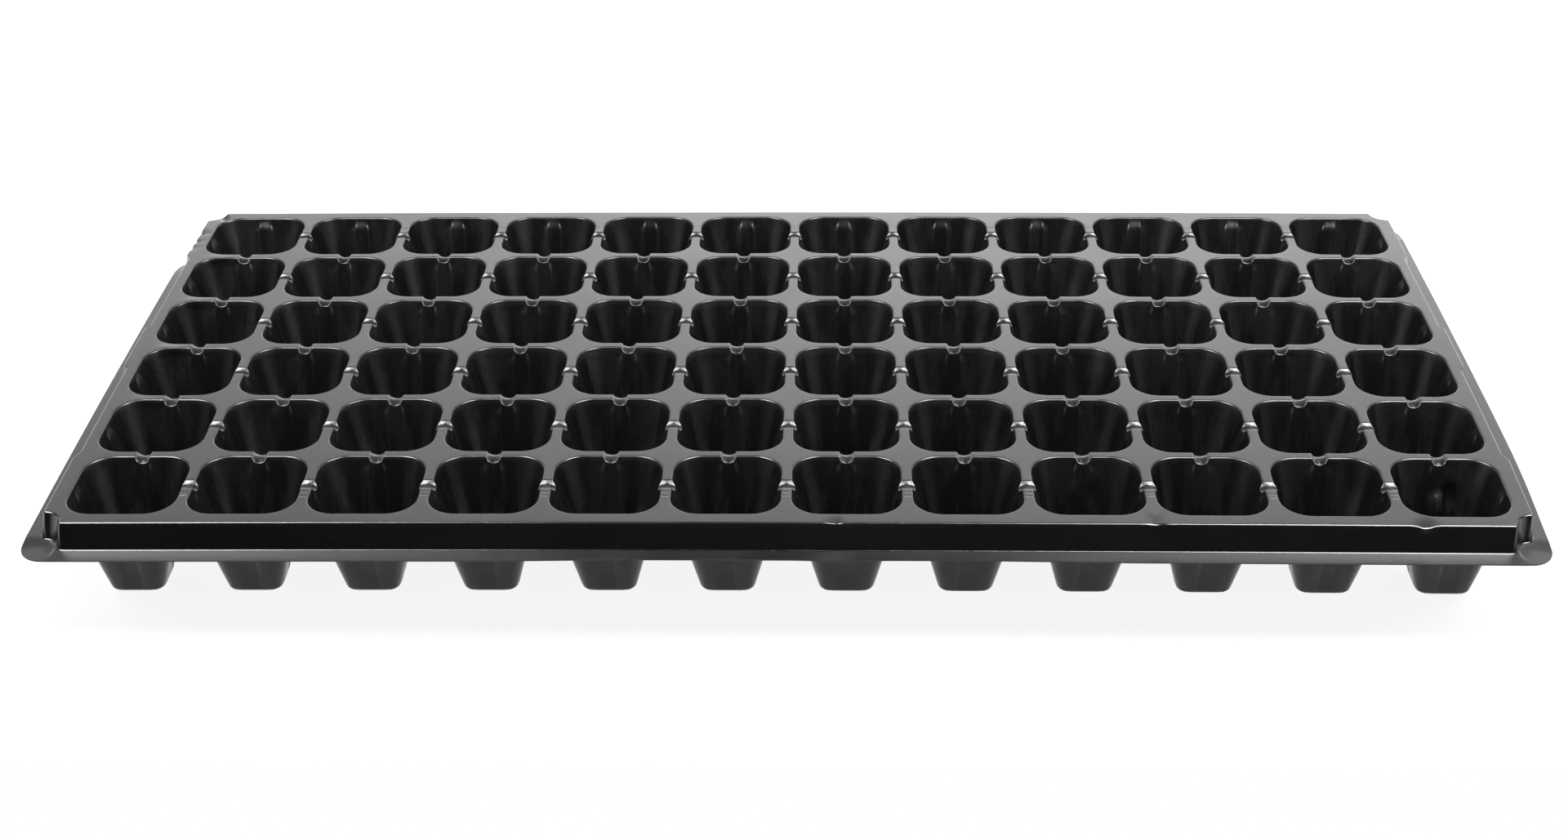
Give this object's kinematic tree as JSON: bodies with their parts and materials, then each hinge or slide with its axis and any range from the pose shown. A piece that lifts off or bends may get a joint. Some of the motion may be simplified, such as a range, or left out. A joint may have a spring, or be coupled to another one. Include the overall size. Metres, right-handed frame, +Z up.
{
  "type": "seed tray",
  "caption": "Black formed plug tray: a grid of tapered square cells with drain holes, linked by small channels, inside a skirted rim with scooped corners.",
  "frame": {"origin": "under the middle of the tray, on the plane of the cell floors that it stands on", "axes": "+X along the length, +Y away from the viewer, +Z up out of the cells"},
  "size_m": [0.5394, 0.2814, 0.0405],
  "materials": {
    "deck_sheet": "satin black formed polystyrene sheet",
    "cell_sheet": "satin black formed polystyrene sheet",
    "skirt_sheet": "satin black formed polystyrene sheet",
    "flange_sheet": "satin black formed polystyrene sheet"
  },
  "bodies": {
    "root": {"cell_column_01": "cell_sheet", "cell_column_02": "cell_sheet", "cell_column_03": "cell_sheet", "cell_column_04": "cell_sheet", "cell_column_05": "cell_sheet", "cell_column_06": "cell_sheet", "cell_column_07": "cell_sheet", "cell_column_08": "cell_sheet", "cell_column_09": "cell_sheet", "cell_column_10": "cell_sheet", "cell_column_11": "cell_sheet", "cell_column_12": "cell_sheet", "column_web_01": "deck_sheet", "column_web_02": "deck_sheet", "column_web_03": "deck_sheet", "column_web_04": "deck_sheet", "column_web_05": "deck_sheet", "column_web_06": "deck_sheet", "column_web_07": "deck_sheet", "column_web_08": "deck_sheet", "column_web_09": "deck_sheet", "column_web_10": "deck_sheet", "column_web_11": "deck_sheet", "border_front": "deck_sheet", "border_back": "deck_sheet", "border_left": "deck_sheet", "border_right": "deck_sheet", "skirt_front": "skirt_sheet", "skirt_back": "skirt_sheet", "skirt_left": "skirt_sheet", "skirt_right": "skirt_sheet", "scoop_front_left": "skirt_sheet", "scoop_front_right": "skirt_sheet", "scoop_back_left": "skirt_sheet", "scoop_back_right": "skirt_sheet", "flange_front": "flange_sheet", "flange_back": "flange_sheet", "flange_left": "flange_sheet", "flange_right": "flange_sheet", "pad_front_left": "flange_sheet", "pad_front_right": "flange_sheet", "pad_back_left": "flange_sheet", "pad_back_right": "flange_sheet"}
  },
  "joints": []
}
